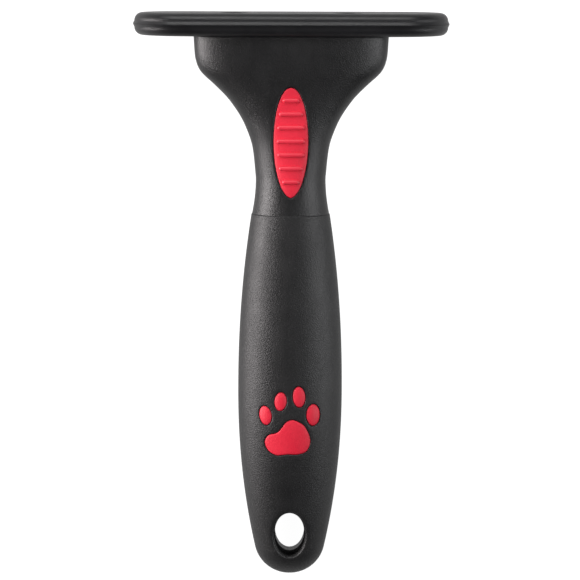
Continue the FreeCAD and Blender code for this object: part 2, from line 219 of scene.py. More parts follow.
# %% From skin to object
MERGE_M, CREASE = 2e-6, 40


def finished(name, skin):
    """The skin as a placed, closed and smoothly shaded object."""
    mesh = bpy.data.meshes.new(name)
    mesh.from_pydata(skin.verts, [], skin.faces)
    mesh.transform(to_place)
    bm = bmesh.new()
    bm.from_mesh(mesh)
    bmesh.ops.remove_doubles(bm, verts=bm.verts, dist=MERGE_M)
    bmesh.ops.delete(bm, geom=[v for v in bm.verts if not v.link_faces], context="VERTS")
    bmesh.ops.recalc_face_normals(bm, faces=bm.faces)
    open_edges = sum(not e.is_manifold for e in bm.edges)
    bm.to_mesh(mesh)
    bm.free()
    mesh.shade_smooth()
    mesh.set_sharp_from_angle(angle=math.radians(CREASE))
    piece = bpy.data.objects.new(name, mesh)
    bpy.context.scene.collection.objects.link(piece)
    print(name, len(mesh.polygons), "faces,", open_edges, "open edges")
    return piece


# %% Tubes along the handle
AROUND, CLEAR_OF_RING = 96, 0.45
CORNER = AROUND // 8


def ring(y, inset):
    """A section of the handle, starting at its right-hand upper corner and running over the top."""
    n = squareness(y)
    points = []
    for i in range(AROUND):
        a = 2 * math.pi * (i + CORNER) / AROUND
        c, s = math.cos(a), math.sin(a)
        reach = (abs(c) ** n + abs(s) ** n) ** (-1 / n)
        points.append((half_width(y, inset) * c * reach, y, middle(y) + half_thickness(y, inset) * s * reach))
    return points


def lip(skin, outline, profile, inset, side):
    """Rings round a cut-out: profile gives how far out and how deep each one lies. Returns all the rings."""
    rings = []
    for out, drop in profile:
        loop = offset(outline, out)
        rings.append(skin.add([(x, y, skin_z(x, y, inset, side) - side * drop) for x, y in loop]))
    for a, b in zip(rings, rings[1:]):
        skin.strip(a, b)
    return rings


def tube(skin, stations, windows):
    """The handle's skin through (y, inset) stations. windows: (side, first y, last y, inset, cut-outs)."""
    rows = [skin.add(ring(y, inset)) for y, inset in stations]
    left_out = set()
    for side, low, high, inset, rings in windows:
        kept = [j for j, (y, _) in enumerate(stations) if low <= y <= high]
        first, last = kept[0], kept[-1]
        start = 0 if side == 1 else 4 * CORNER
        columns = list(range(start, start + 2 * CORNER + 1))
        left_out |= {(j, i) for j in range(first, last) for i in columns[:-1]}
        border = [rows[first][i] for i in columns]
        border += [rows[j][columns[-1]] for j in range(first + 1, last)]
        border += [rows[last][i] for i in reversed(columns)]
        border += [rows[j][columns[0]] for j in reversed(range(first + 1, last))]
        marks = [Vector(skin.verts[v][:2]) for hole in rings for v in hole]
        loops = [[skin.verts[v][:2] for v in hole] for hole in rings]
        extra = []
        for j in range(first + 1, last):
            for i in columns[1:-1]:
                spot = skin.verts[rows[j][i]][:2]
                if any(inside(spot, loop) for loop in loops):
                    continue
                if min((Vector(spot) - m).length for m in marks) > CLEAR_OF_RING:
                    extra.append(rows[j][i])
        skin.fill(border, rings, extra, lambda p: p[:2])
    for j in range(len(rows) - 1):
        for i in range(AROUND):
            if (j, i) not in left_out:
                k = (i + 1) % AROUND
                skin.faces.append((rows[j][i], rows[j][k], rows[j + 1][k], rows[j + 1][i]))
    return rows


def cap(skin, row, point):
    """Closes a row with a fan to one point."""
    tip = skin.add([point])[0]
    for a, b in zip(row, row[1:] + row[:1]):
        skin.faces.append((a, b, tip))


def places(start, end, step):
    """Stations from start up to but without end, about step apart."""
    count = max(round((end - start) / step), 1)
    return [start + (end - start) * i / count for i in range(count)]


def dome(inset):
    """Stations of the butt's dome, from near its pole to where the taper starts."""
    angles = [math.radians(a) for a in (3, *range(7, 73, 5))]
    return [(BUTT_R - (BUTT_R - inset) * math.cos(a), inset) for a in angles]


# %% [markdown]
# ## Outlines of the pads and the hanging hole
#
# The paw is one main pad and four toes, the thumb pad is a leaf, and the hanging hole is an oval. Each is a
# closed loop in plan. A free-form one could be a Bezier curve with hand-set handles, but a closed Catmull-Rom
# curve needs only the points that fix its shape, and the centripetal kind makes no loops or cusps.

# %% Plan outlines
MAIN_PAD = ((0.8, 5.5), (4.0, 4.0), (5.6, 1.4), (6.2, -1.3), (5.1, -4.1), (2.5, -5.1), (-0.7, -5.1),
            (-3.9, -5.4), (-6.5, -4.0), (-7.6, -1.4), (-6.5, 0.7), (-3.9, 1.6), (-2.5, 3.1), (-1.2, 4.8))
TOES = ((-7.3, 6.7, 3.8, 5.9, 10.0), (-2.8, 11.0, 3.8, 5.7, -6.0), (2.7, 12.4, 3.9, 6.4, 5.0),
        (6.9, 6.9, 4.2, 6.6, 0.0))
PAW_Y, THUMB_Y = 43.4, GRIP + 21.8
THUMB_L, THUMB_W = 32.9, 10.5
THUMB_HALF = ((-1.0, 0.0), (-0.96, 0.24), (-0.83, 0.53), (-0.6, 0.775), (-0.3, 0.945), (0.05, 1.0),
              (0.4, 0.925), (0.7, 0.735), (0.9, 0.46), (0.975, 0.24), (1.0, 0.0))


def oval(width, length, x, y, lean=0.0, count=72):
    """A counter-clockwise oval loop, leaning to the left by lean degrees."""
    t = math.radians(lean)
    loop = []
    for i in range(count):
        a = 2 * math.pi * i / count
        u, v = width / 2 * math.cos(a), length / 2 * math.sin(a)
        loop.append((x + u * math.cos(t) - v * math.sin(t), y + u * math.sin(t) + v * math.cos(t)))
    return loop


def rounded(points, steps):
    """A closed centripetal Catmull-Rom curve through the points, counter-clockwise."""
    count = len(points)
    loop = []
    for i in range(count):
        p = [Vector(points[(i + k - 1) % count]) for k in range(4)]
        knots = [0.0]
        for a, b in zip(p, p[1:]):
            knots.append(knots[-1] + math.sqrt((b - a).length))
        levels = (zip(knots, knots[1:]), zip(knots, knots[2:]), zip(knots[1:], knots[2:3]))
        levels = [list(spans) for spans in levels]
        for k in range(steps):
            t = knots[1] + (knots[2] - knots[1]) * k / steps
            row = p
            for spans in levels:
                pairs = zip(row, row[1:], spans)
                row = [a + (b - a) * (t - low) / (high - low) for a, b, (low, high) in pairs]
            loop.append(tuple(row[0]))
    area = sum(a[0] * b[1] - b[0] * a[1] for a, b in zip(loop, loop[1:] + loop[:1]))
    return loop if area > 0 else loop[::-1]


paw = {"paw_main_pad": rounded([(x, PAW_Y + y) for x, y in MAIN_PAD], 8)}
for number, (x, y, width, length, lean) in enumerate(TOES, 1):
    paw[f"paw_toe_{number}"] = oval(width, length, x, PAW_Y + y, lean)
leaf = [(w * THUMB_W / 2, THUMB_Y + t * THUMB_L / 2) for t, w in THUMB_HALF]
thumb = rounded(leaf + [(-x, y) for x, y in reversed(leaf[1:-1])], 8)
print("outlines:", {name: len(loop) for name, loop in paw.items()}, "thumb", len(thumb))

# %% [markdown]
# ## The soft grip
#
# The grip is rubber moulded over the handle's core. Its pockets hold the paw's pads, and its hanging hole is
# an oval with a full, rounded lip. It stops at a thin seam against the neck. A lip is a list of pairs: how
# far out of the outline, and how deep. So a sharper or a softer edge is a change of a few numbers.

# %% Build the soft grip
POCKET = ((0.36, 0.0), (0.2, 0.03), (0.08, 0.14), (0.03, 0.34), (0.03, 1.2))
HOLE_LIP = ((1.6, 0.0), (0.85, 0.06), (0.45, 0.22), (0.18, 0.52), (0.03, 0.95), (0.0, 1.5))
hang_oval = oval(9.5, 13.8, 0, 13.05, count=96)

grip = Skin()
upper = lip(grip, hang_oval, HOLE_LIP, 0.0, 1)
lower = lip(grip, hang_oval, HOLE_LIP, 0.0, -1)
grip.strip(upper[-1], lower[-1])
pockets = []
for loop in paw.values():
    rings = lip(grip, loop, POCKET, 0.0, 1)
    grip.faces.append(tuple(rings[-1]))
    pockets.append(rings[0])
stations = dome(0.0) + [(y, 0.0) for y in places(8.3, GRIP - 0.4, 1.0)]
stations += [(GRIP - 0.3, 0.0), (GRIP - 0.08, 0.01), (GRIP - 0.01, 0.07), (GRIP, 0.22), (GRIP, 1.2)]
rows = tube(grip, stations, [(1, 2.6, 22.5, 0.0, [upper[0]]), (-1, 2.6, 22.5, 0.0, [lower[0]]),
                             (1, 33.5, 60.0, 0.0, pockets)])
cap(grip, rows[0], (0, 0, middle(0)))
cap(grip, rows[-1], (0, GRIP, middle(GRIP)))
soft_grip = finished("soft_grip_skin", grip)

# %% [markdown]
# ## The core: neck, tang and eye
#
# One hard moulding runs the whole length. Most of it hides under the grip, but it shows at the neck and as a
# ring inside the hanging hole, a little smaller than the grip's opening. The tang could be left out, but then
# the hole would need a false ring. It is built with the same tube, only thinner, as one honest solid.

# %% Build the core
TANG, STEP = 3.8, 0.15
EYE_LIP = ((0.7, 0.0), (0.25, 0.0), (0.08, 0.06), (0.0, 0.2), (0.0, 0.8))
THUMB_POCKET = ((0.6, 0.0), (0.24, 0.03), (0.09, 0.13), (0.03, 0.32), (0.03, 1.2))
eye_oval = oval(8.8, 11.9, 0, 13.5, count=96)

core = Skin()
upper = lip(core, eye_oval, EYE_LIP, TANG, 1)
lower = lip(core, eye_oval, EYE_LIP, TANG, -1)
core.strip(upper[-1], lower[-1])
rings = lip(core, thumb, THUMB_POCKET, STEP, 1)
core.faces.append(tuple(rings[-1]))
stations = dome(TANG) + [(y, TANG) for y in places(8.9, GRIP - 1.0, 1.4)]
stations += [(GRIP - 1.0, TANG), (GRIP - 1.0, 1.0), (GRIP, 0.6), (GRIP + 0.01, 0.2), (GRIP + 0.06, STEP)]
stations += [(y, STEP) for y in places(GRIP + 0.6, TOP_Y - 0.7, 0.8)]
stations += [(TOP_Y - 0.65, STEP), (TOP_Y - 0.25, 0.2), (TOP_Y - 0.02, 0.42), (TOP_Y - 0.02, 0.9)]
rows = tube(core, stations, [(1, 5.2, 21.5, TANG, [upper[0]]), (-1, 5.2, 21.5, TANG, [lower[0]]),
                             (1, GRIP + 2.0, TOP_Y - 10.0, STEP, [rings[0]])])
cap(core, rows[0], (0, TANG, middle(TANG)))
cap(core, rows[-1], (0, TOP_Y - 0.02, 0))
handle_core = finished("neck_and_tang", core)

# %% [markdown]
# ## The red pads
#
# Each pad is a plug of softer rubber, shot into its pocket in a second step. It lies a hair under the skin
# round it, its edge is rounded, and the toes swell slightly in the middle. Painting red on the grip would be
# quicker, but the thin shadow round a real insert comes only from a real gap.

# %% Build the pads
SINK, PAD_GAP, MAIN_SWELL, TOE_SWELL, THUMB_SWELL = 0.15, 0.04, 0.1, 0.3, 0.05
PAD_GRID, PAD_CLEAR = 0.6, 0.3
PAD_EDGE = ((0.0, 1.1), (0.0, 0.34), (-0.05, 0.2), (-0.16, 0.1), (-0.32, 0.05), (-0.5, 0.02))


def plug(name, outline, inset, swell):
    """A pad that fills an outline, sunk under the skin and swollen in the middle by swell."""
    skin = Skin()
    xs, ys = [p[0] for p in outline], [p[1] for p in outline]
    cx, cy = (min(xs) + max(xs)) / 2, (min(ys) + max(ys)) / 2
    rx, ry = (max(xs) - min(xs)) / 2, (max(ys) - min(ys)) / 2

    def top(x, y, drop):
        bulge = swell * max(1 - ((x - cx) / rx) ** 2 - ((y - cy) / ry) ** 2, 0.0)
        return (x, y, skin_z(x, y, inset) - SINK - drop + bulge)

    rings = [skin.add([top(x, y, drop) for x, y in offset(outline, out - PAD_GAP)]) for out, drop in PAD_EDGE]
    for a, b in zip(rings, rings[1:]):
        skin.strip(a, b)
    skin.faces.append(tuple(rings[0]))
    last = [skin.verts[v][:2] for v in rings[-1]]
    marks = [Vector(p) for p in last]
    spots = []
    for i in range(int(2 * rx / PAD_GRID) + 1):
        for j in range(int(2 * ry / PAD_GRID) + 1):
            spot = (min(xs) + PAD_GRID * i, min(ys) + PAD_GRID * j)
            if inside(spot, last) and min((Vector(spot) - m).length for m in marks) > PAD_CLEAR:
                spots.append(top(*spot, 0.0))
    skin.fill(rings[-1], [], skin.add(spots), lambda p: p[:2])
    return finished(name, skin)


pads = {name: plug(f"{name}_soft", loop, 0.0, MAIN_SWELL if name == "paw_main_pad" else TOE_SWELL)
        for name, loop in paw.items()}
thumb_pad = plug("thumb_pad_soft", thumb, STEP, THUMB_SWELL)

# %% [markdown]
# ## The head plate
#
# Two shallow trays meet at a parting line half-way up the rim. Each leans in a little from that line, which
# lets the mould let go of it, and ends in a rounded edge. A bevelled box would come near, but a stack of
# stadium loops follows that profile exactly, and its even spacing keeps the long reflections straight. The
# faces are filled with the same Delaunay fill, on the cover round the counterbores.

# %% Build the two shells
HEAD_W, HEAD_D, DRAFT, FILLET = 94.5, 26.0, 0.4, 2.4
PARTING_Y, FACE_Y = TOP_Y + HEAD / 2, TOP_Y + HEAD
SCREW_XS, SCREW_Z = (-17.0, 17.0), 3.8
COUNTERBORE_R, COUNTERBORE_DEPTH = 4.2, 2.0
BORE_LIP = ((0.4, 0.0), (0.12, 0.03), (0.03, 0.12), (0.0, 0.3), (0.0, COUNTERBORE_DEPTH))
GROOVE = ((2.0, 0.0), (0.12, 0.0), (0.04, 0.02), (0.0, 0.08))
GROOVE_END, CROWN_START = 0.08, 0.3
FACE_GRID, CLEAR_OF_EDGE, CLEAR_OF_BORE = 2.0, 1.6, 5.6


def stadium(inset, count=240):
    """A round-ended loop in the head's plane, evenly spaced, counter-clockwise in (x, z)."""
    r = HEAD_D / 2 - inset
    half = (HEAD_W - HEAD_D) / 2
    straight, bend = 2 * half, math.pi * r
    total = 2 * (straight + bend)
    loop = []
    for i in range(count):
        d = total * i / count
        if d < bend:
            a = d / r - math.pi / 2
            loop.append((half + r * math.cos(a), r * math.sin(a)))
        elif d < bend + straight:
            loop.append((half - (d - bend), r))
        elif d < 2 * bend + straight:
            a = (d - bend - straight) / r + math.pi / 2
            loop.append((-half + r * math.cos(a), r * math.sin(a)))
        else:
            loop.append((-half + (d - 2 * bend - straight), -r))
    return loop


def shell(name, way, crown, bores):
    """One tray: way is 1 for the outer cover and -1 for the neck's side; crown bellies its face out."""
    skin = Skin()
    height = HEAD / 2
    profile = list(GROOVE)
    straight = height - FILLET
    profile += [(DRAFT * t, GROOVE_END + (straight - GROOVE_END) * t) for t in (0.25, 0.5, 0.75, 1.0)]
    turn = [math.radians(a) for a in range(10, 91, 10)]
    profile += [(DRAFT + FILLET * (1 - math.cos(a)), straight + FILLET * math.sin(a)) for a in turn]
    profile += [(DRAFT + FILLET + 0.8, height)]

    def spot(x, z, up):
        past_start = max(up - CROWN_START * height, 0.0)
        belly = crown * max(1 - (2 * x / HEAD_W) ** 2, 0.0) * past_start / ((1 - CROWN_START) * height)
        return (x, PARTING_Y + way * (up + belly), z)

    rows = [skin.add([spot(x, z, up) for x, z in stadium(inset)]) for inset, up in profile]
    for a, b in zip(rows, rows[1:]):
        skin.strip(a, b)
    skin.faces.append(tuple(rows[0]))
    holes = []
    for x in bores:
        edge = oval(2 * COUNTERBORE_R, 2 * COUNTERBORE_R, x, SCREW_Z, count=64)
        rings = []
        for out, drop in BORE_LIP:
            rings.append(skin.add([spot(u, v, height - drop) for u, v in offset(edge, out)]))
        for a, b in zip(rings, rings[1:]):
            skin.strip(a, b)
        skin.faces.append(tuple(rings[-1]))
        holes.append(rings[0])
    marks = [Vector((x, SCREW_Z)) for x in bores]
    extra = []
    columns, lines = int(HEAD_W / 2 / FACE_GRID), int(HEAD_D / 2 / FACE_GRID)
    clear = HEAD_D / 2 - DRAFT - FILLET - CLEAR_OF_EDGE
    for i in range(-columns, columns + 1):
        for j in range(-lines, lines + 1):
            u, v = FACE_GRID * i, FACE_GRID * j
            over = max(abs(u) - (HEAD_W - HEAD_D) / 2, 0.0)
            near_bore = any((Vector((u, v)) - m).length <= CLEAR_OF_BORE for m in marks)
            if math.hypot(over, v) < clear and not near_bore:
                extra.append(spot(u, v, height))
    skin.fill(rows[-1], holes, skin.add(extra), lambda p: (p[0], p[2]))
    return finished(name, skin)


base = shell("head_base_shell", -1, 0.3, ())
cover = shell("head_cover_shell", 1, 0.0, SCREW_XS)

# %% [markdown]
# ## Small parts that repeat: Geometry Nodes
#
# Pins, ribs, pin slots and screws are the same shape again and again. A copied mesh would do, but then every
# change means a new copy. So each is a node tree with named sizes, which is quick to change and costs nothing
# to repeat. The helper below writes a tree's inputs, runs it once on an empty mesh or on a given one, and
# keeps the result as plain geometry.

# %% Node tree helper
BAKED_CREASE = 35


class Tree:
    """A Geometry Nodes tree that is written from a script."""

    def __init__(self, name, takes_mesh=False, **sizes):
        self.group = bpy.data.node_groups.new(name, "GeometryNodeTree")
        self.group.interface.new_socket("Geometry", in_out="OUTPUT", socket_type="NodeSocketGeometry")
        if takes_mesh:
            self.group.interface.new_socket("Geometry", in_out="INPUT", socket_type="NodeSocketGeometry")
        self.keys = {}
        for label, value in {**sizes, "Finish": None}.items():
            kind = ("NodeSocketMaterial" if value is None else
                    "NodeSocketInt" if isinstance(value, int) else "NodeSocketFloat")
            socket = self.group.interface.new_socket(label, in_out="INPUT", socket_type=kind)
            if value is not None:
                socket.default_value = value
            self.keys[label] = socket.identifier
        self.inputs = self.group.nodes.new("NodeGroupInput")

    def node(self, kind, settings=(), **links):
        """A node; a link is another node's socket, the name of an input, or a plain value."""
        made = self.group.nodes.new(kind)
        for key, value in dict(settings).items():
            setattr(made, key, value)
        for key, value in links.items():
            socket = made.inputs[int(key[1:])] if key[1:].isdigit() else made.inputs[key.replace("_", " ")]
            if isinstance(value, str):
                value = self.inputs.outputs[value]
            if isinstance(value, bpy.types.Node):
                value = value.outputs[0]
            if isinstance(value, bpy.types.NodeSocket):
                self.group.links.new(value, socket)
            else:
                socket.default_value = value
        return made

    def sum(self, operation, a, b=0.0):
        """A math node on two numbers, sockets or inputs."""
        return self.node("ShaderNodeMath", {"operation": operation}, i0=a, i1=b)

    def spot(self, x, y, z):
        """A vector from three numbers, sockets or inputs."""
        return self.node("ShaderNodeCombineXYZ", i0=x, i1=y, i2=z)

    def end(self, shape):
        """Realizes the instances, gives the finish and closes the tree."""
        real = self.node("GeometryNodeRealizeInstances", i0=shape)
        done = self.node("GeometryNodeSetMaterial", Geometry=real, Material="Finish")
        out = self.group.nodes.new("NodeGroupOutput")
        self.group.links.new(done.outputs[0], out.inputs[0])

    def bake(self, name, finish, start=None, **sizes):
        """The tree's result as a plain, placed object."""
        mesh = start if start else bpy.data.meshes.new(name + "_seed")
        seed = bpy.data.objects.new(name + "_seed", mesh)
        bpy.context.scene.collection.objects.link(seed)
        modifier = seed.modifiers.new("tree", "NODES")
        modifier.node_group = self.group
        for label, value in {**sizes, "Finish": finish}.items():
            modifier[self.keys[label]] = value
        graph = bpy.context.evaluated_depsgraph_get()
        baked = bpy.data.meshes.new_from_object(seed.evaluated_get(graph))
        bpy.data.objects.remove(seed)
        baked.name = name
        baked.transform(to_place)
        baked.shade_smooth()
        baked.set_sharp_from_angle(angle=math.radians(BAKED_CREASE))
        piece = bpy.data.objects.new(name, baked)
        bpy.context.scene.collection.objects.link(piece)
        return piece


# %% [markdown]
# ## Finishes
#
# Nearly everything here is moulded plastic, and what sells moulded plastic is its skin: a fine spark-eroded
# grain, slightly uneven gloss, and a slow ripple from the cooling mould. An image texture would need
# unwrapped pieces. Noise on object coordinates, in metres, keeps one scale on every piece and never slides.
# The grain is kept shallow, because a deep one breaks the highlights up into spots.

# %% Material helpers
def new_finish(name):
    """A material with its nodes, its links and its shader."""
    material = bpy.data.materials.new(name)
    material.use_nodes = True
    nodes, links = material.node_tree.nodes, material.node_tree.links
    return material, nodes, links, nodes["Principled BSDF"]


def noise(nodes, links, scale, detail=3.0, stretch=None):
    """Noise on object coordinates; scale is in features to the metre."""
    place = nodes.new("ShaderNodeTexCoord")
    source = place.outputs["Object"]
    if stretch:
        mapping = nodes.new("ShaderNodeMapping")
        mapping.inputs["Scale"].default_value = stretch
        mapping.inputs["Rotation"].default_value = (-tilt, 0, 0)
        links.new(source, mapping.inputs["Vector"])
        source = mapping.outputs["Vector"]
    texture = nodes.new("ShaderNodeTexNoise")
    texture.inputs["Scale"].default_value = scale
    texture.inputs["Detail"].default_value = detail
    links.new(source, texture.inputs["Vector"])
    return texture.outputs["Fac"]


def ramp(nodes, links, fac, low, high, a, b):
    """fac between low and high turned into a value from a to b."""
    remap = nodes.new("ShaderNodeMapRange")
    for key, value in (("From Min", low), ("From Max", high), ("To Min", a), ("To Max", b)):
        remap.inputs[key].default_value = value
    links.new(fac, remap.inputs["Value"])
    return remap.outputs["Result"]


def mix_colors(nodes, links, fac, a, b):
    """A colour that goes from a to b with fac."""
    mix = nodes.new("ShaderNodeMix")
    mix.data_type = "RGBA"
    mix.inputs["A"].default_value = (*a, 1)
    mix.inputs["B"].default_value = (*b, 1)
    links.new(fac, mix.inputs["Factor"])
    return mix.outputs["Result"]


def bump(nodes, links, height, distance, strength, under=None):
    """A bumped normal, on top of another one if that is given."""
    made = nodes.new("ShaderNodeBump")
    made.inputs["Distance"].default_value = distance
    made.inputs["Strength"].default_value = strength
    links.new(height, made.inputs["Height"])
    if under:
        links.new(under, made.inputs["Normal"])
    return made.outputs["Normal"]


# %% The two kinds of finish
MOTTLE, RUBS, RIPPLE, STREAKS = 90, 420, 60, 2600
RIPPLE_DEPTH, STREAK_DEPTH = 0.0004, 0.00002


def moulded(name, dark, light, gloss, grain, depth, specular=0.5):
    """Moulded plastic or rubber: mottled colour, uneven gloss, fine grain over a slow ripple."""
    material, nodes, links, shader = new_finish(name)
    mottle = noise(nodes, links, MOTTLE, 5)
    links.new(mix_colors(nodes, links, ramp(nodes, links, mottle, 0.35, 0.7, 0, 1), dark, light),
              shader.inputs["Base Color"])
    rubs = noise(nodes, links, RUBS, 6, (1.0, 0.35, 1.0))
    links.new(ramp(nodes, links, rubs, 0.3, 0.75, gloss[0], gloss[1]), shader.inputs["Roughness"])
    ripple = bump(nodes, links, noise(nodes, links, RIPPLE, 2), RIPPLE_DEPTH, 0.12)
    fine = bump(nodes, links, noise(nodes, links, grain, 3), depth, 0.55, ripple)
    links.new(fine, shader.inputs["Normal"])
    shader.inputs["Specular IOR Level"].default_value = specular
    return material


def metal(name, color, gloss, stretch):
    """Turned or plated steel: streaks round or along the part, and a little mottle."""
    material, nodes, links, shader = new_finish(name)
    shader.inputs["Metallic"].default_value = 1.0
    streaks = noise(nodes, links, STREAKS, 4, stretch)
    darker = tuple(0.82 * c for c in color)
    links.new(mix_colors(nodes, links, ramp(nodes, links, streaks, 0.3, 0.7, 0, 1), darker, color),
              shader.inputs["Base Color"])
    links.new(ramp(nodes, links, streaks, 0.25, 0.75, gloss[0], gloss[1]), shader.inputs["Roughness"])
    links.new(bump(nodes, links, streaks, STREAK_DEPTH, 0.3), shader.inputs["Normal"])
    return material


# %% The finishes
neck_black = moulded("neck_black", (0.005, 0.005, 0.0055), (0.009, 0.009, 0.0095), gloss=(0.38, 0.45),
                     grain=3000, depth=0.0002)
head_black = moulded("head_black", (0.005, 0.005, 0.006), (0.009, 0.009, 0.0105), gloss=(0.36, 0.43),
                     grain=3200, depth=0.00016)
grip_black = moulded("grip_black", (0.006, 0.006, 0.0065), (0.011, 0.011, 0.0115), gloss=(0.45, 0.53),
                     grain=2700, depth=0.00024)
pad_red = moulded("pad_red", (0.69, 0.014, 0.04), (0.77, 0.02, 0.048), gloss=(0.46, 0.6),
                  grain=3000, depth=0.00015, specular=0.4)
rib_red = moulded("rib_red", (0.72, 0.022, 0.05), (0.78, 0.03, 0.06), gloss=(0.4, 0.52),
                  grain=3000, depth=0.00008)
nylon = moulded("nylon", (0.6, 0.58, 0.5), (0.68, 0.66, 0.58), gloss=(0.4, 0.55), grain=3000, depth=0.00005)
pin_steel = metal("pin_steel", (0.72, 0.72, 0.74), gloss=(0.1, 0.24), stretch=(1.0, 1.0, 6.0))
screw_zinc = metal("screw_zinc", (0.56, 0.57, 0.6), gloss=(0.24, 0.42), stretch=(1.0, 5.0, 1.0))


def paint(piece, material):
    """Gives a piece one material in place of any it has."""
    piece.data.materials.clear()
    piece.data.materials.append(material)


print("finishes:", ", ".join(material.name for material in bpy.data.materials))


# %% [markdown]
# ## Pins, pin slots, ribs and screws
#
# A pin is a turned part: a shaft with a ball end, a collar that traps it in the plate, and a short stub that
# steadies its far end. It could be spun from a profile. Here a straight curve gets a round section whose size
# follows the ball, which does the same inside a tree. Each pin is its own piece, because each one turns.

# %% Pins
PIN_R, PIN_TIP_Z, COLLAR_Z, COLLAR_R, COLLAR_H = 1.0, -26.5, -9.2, 1.9, 1.2
STUB_R, STUB_END_Z = 0.75, -5.5
PIN_COUNT, PIN_MARGIN = 18, 8.4
PIN_SPAN = HEAD_W - 2 * PIN_MARGIN
BALL_STEPS, PIN_SIDES, POLE_SHARE = 12, 28, 0.02

pins = Tree("turned_pin", Across=0.0, Radius=PIN_R, Tip=PIN_TIP_Z)
index = pins.node("GeometryNodeInputIndex")
turn = pins.sum("MINIMUM", pins.sum("MULTIPLY", index, math.pi / 2 / BALL_STEPS), math.pi / 2)
rise = pins.sum("SUBTRACT", 1.0, pins.sum("COSINE", turn))
low = pins.sum("ADD", "Tip", pins.sum("MULTIPLY", rise, "Radius"))
in_shaft = pins.sum("GREATER_THAN", index, BALL_STEPS + 0.5)
height = pins.sum("ADD", pins.sum("MULTIPLY", low, pins.sum("SUBTRACT", 1.0, in_shaft)),
                  pins.sum("MULTIPLY", in_shaft, COLLAR_Z))
line = pins.node("GeometryNodeMeshLine", Count=BALL_STEPS + 2)
line = pins.node("GeometryNodeSetPosition", Geometry=line, Position=pins.spot(0, 0, height))
spine = pins.node("GeometryNodeMeshToCurve", Mesh=line)
spread = pins.sum("MULTIPLY", pins.sum("MAXIMUM", pins.sum("SINE", turn), POLE_SHARE), "Radius")
section = pins.node("GeometryNodeCurvePrimitiveCircle", {"mode": "RADIUS"}, Resolution=PIN_SIDES, Radius=1.0)
shaft = pins.node("GeometryNodeCurveToMesh", Curve=spine, Profile_Curve=section, Scale=spread, Fill_Caps=True)


def turned(radius, low, high):
    """A plain disc or stub about the pin's axis."""
    disc = pins.node("GeometryNodeMeshCylinder", Vertices=PIN_SIDES, Radius=radius, Depth=high - low)
    return pins.node("GeometryNodeTransform", Geometry=disc, Translation=(0, 0, (high + low) / 2))


parts = pins.node("GeometryNodeJoinGeometry")
for shape in (shaft, turned(COLLAR_R, COLLAR_Z, COLLAR_Z + COLLAR_H), turned(STUB_R, COLLAR_Z, STUB_END_Z)):
    pins.group.links.new(shape.outputs[0], parts.inputs[0])
pins.end(pins.node("GeometryNodeTransform", Geometry=parts, Translation=pins.spot("Across", PARTING_Y, 0)))

pin_pieces = {}
for number in range(1, PIN_COUNT + 1):
    across = PIN_SPAN * ((number - 1) / (PIN_COUNT - 1) - 0.5)
    pin_pieces[number] = pins.bake(f"turned_pin_{number:02d}", pin_steel, Across=across)
print("pins", len(pin_pieces), "faces each", len(pin_pieces[1].data.polygons))

# %% [markdown]
# Each pin leaves the plate through a round slot, half in either shell, and its collar turns in a trough that
# runs along the plate and also holds the retainer. Modelling each half slot by hand would risk a mismatch. A
# row of cylinders and one long block are taken out of both shells by the same tree, so everything lines up
# across the parting line.

# %% Pin slots and collar trough in both shells
SLOT_GAP, SLOT_DEPTH, SLOT_SIDES = 0.12, 3.75, 32
TROUGH_GAP, TROUGH_LOW, TROUGH_HIGH = 0.1, -9.3, -4.6
retainer_low, retainer_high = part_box("pin_retainer")
trough_length = (retainer_high.x - retainer_low.x) / MM + 2 * TROUGH_GAP
trough_width = 2 * (COLLAR_R + TROUGH_GAP)
slots = Tree("pin_slots", takes_mesh=True, Count=PIN_COUNT, Radius=PIN_R + SLOT_GAP)
row = slots.node("GeometryNodeMeshLine", {"mode": "END_POINTS"}, Count="Count",
                 Start_Location=(-PIN_SPAN / 2, PARTING_Y, -HEAD_D / 2),
                 i3=(PIN_SPAN / 2, PARTING_Y, -HEAD_D / 2))
cutter = slots.node("GeometryNodeMeshCylinder", Vertices=SLOT_SIDES, Radius="Radius", Depth=2 * SLOT_DEPTH)
holes = slots.node("GeometryNodeRealizeInstances",
                   i0=slots.node("GeometryNodeInstanceOnPoints", Points=row, Instance=cutter))
trough = slots.node("GeometryNodeMeshCube", Size=(trough_length, trough_width, TROUGH_HIGH - TROUGH_LOW))
trough = slots.node("GeometryNodeTransform", Geometry=trough,
                    Translation=(0, PARTING_Y, (TROUGH_HIGH + TROUGH_LOW) / 2))
cutters = slots.node("GeometryNodeJoinGeometry")
for shape in (holes, trough):
    slots.group.links.new(shape.outputs[0], cutters.inputs[0])
cut = slots.node("GeometryNodeMeshBoolean", {"operation": "DIFFERENCE", "solver": "EXACT"},
                 Mesh_1="Geometry", Mesh_2=cutters, Self_Intersection=True)
slots.end(cut)
from_place = to_place.inverted()
slotted = {}
for name, blank in (("head_base", base), ("head_cover", cover)):
    blank.data.transform(from_place)
    slotted[name] = slots.bake(f"{name}_slotted", head_black, start=blank.data)
    bpy.data.objects.remove(blank)
    print(name, len(slotted[name].data.polygons), "faces after slotting")

# %% [markdown]
# The thumb pad's ribs are short rounded bars. Each reaches as far as the leaf is wide at its place, and it
# bends over the neck's crown. Bevelled boxes would need bending afterwards. A curve with a round section
# bends by itself, and its radius falls almost to nothing at both ends, which gives the ball ends too.

# %% Ribs on the thumb pad
RIB_COUNT, RIB_PITCH, RIB_SHIFT, RIB_W, RIB_H, RIB_MARGIN = 7, 4.05, 0.45, 1.5, 0.75, 0.95
RIB_STEPS, RIB_SIDES, POLE_SQUARE = 40, 24, 0.0004

